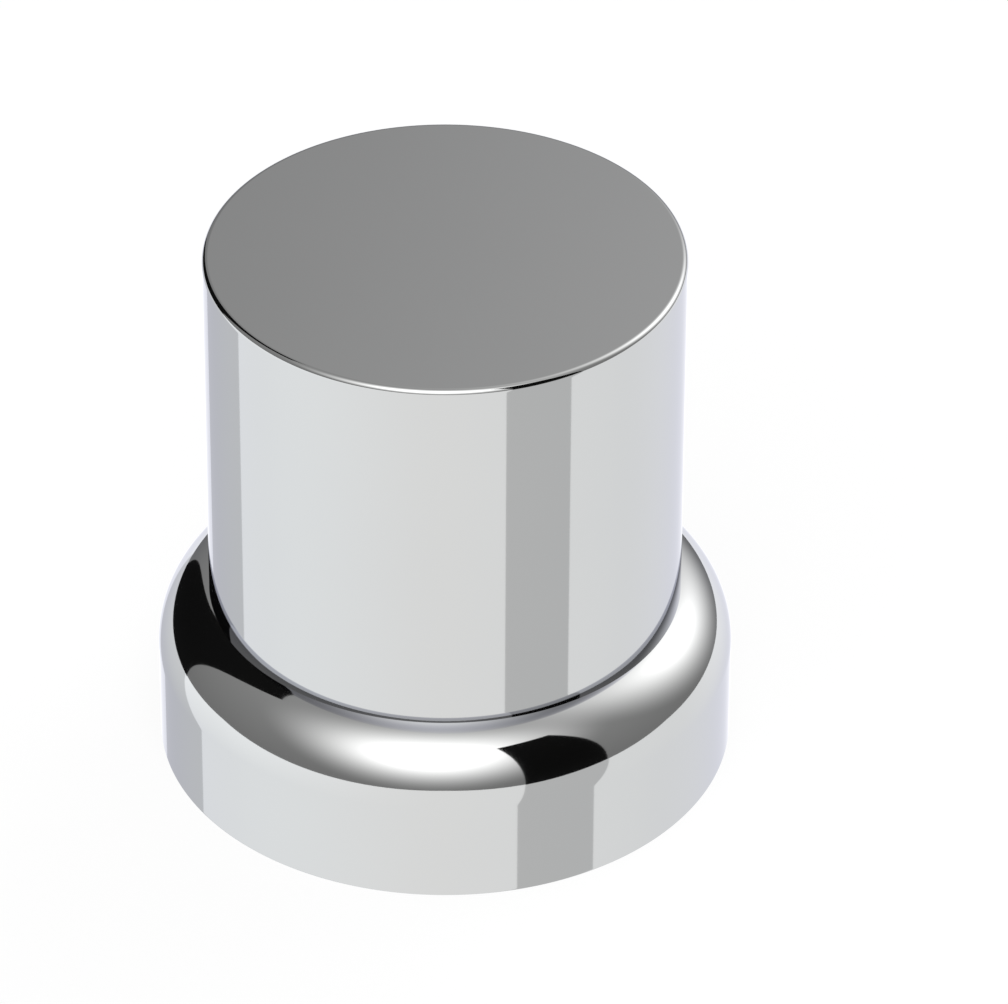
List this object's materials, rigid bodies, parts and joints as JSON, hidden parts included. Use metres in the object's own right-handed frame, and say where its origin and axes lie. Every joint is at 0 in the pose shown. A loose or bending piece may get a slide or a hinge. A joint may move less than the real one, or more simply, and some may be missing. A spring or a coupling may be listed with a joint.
{
  "type": "wheel nut cover cap",
  "caption": "Bright plated push-on cover for a truck wheel nut: a plain round barrel with a flat closed top, a wider foot with a rounded shoulder, and grip ribs inside.",
  "frame": {"origin": "centre of the foot's rim, in the plane that rests on the wheel", "axes": "+Z along the nut's axis, up to the closed top; +X square to one flat of the nut"},
  "size_m": [0.054, 0.054, 0.053],
  "materials": {
    "plated_plastic": "mirror-bright chrome plating on moulded plastic, satin inside"
  },
  "bodies": {
    "root": {"nut_cover": "plated_plastic"}
  },
  "joints": []
}
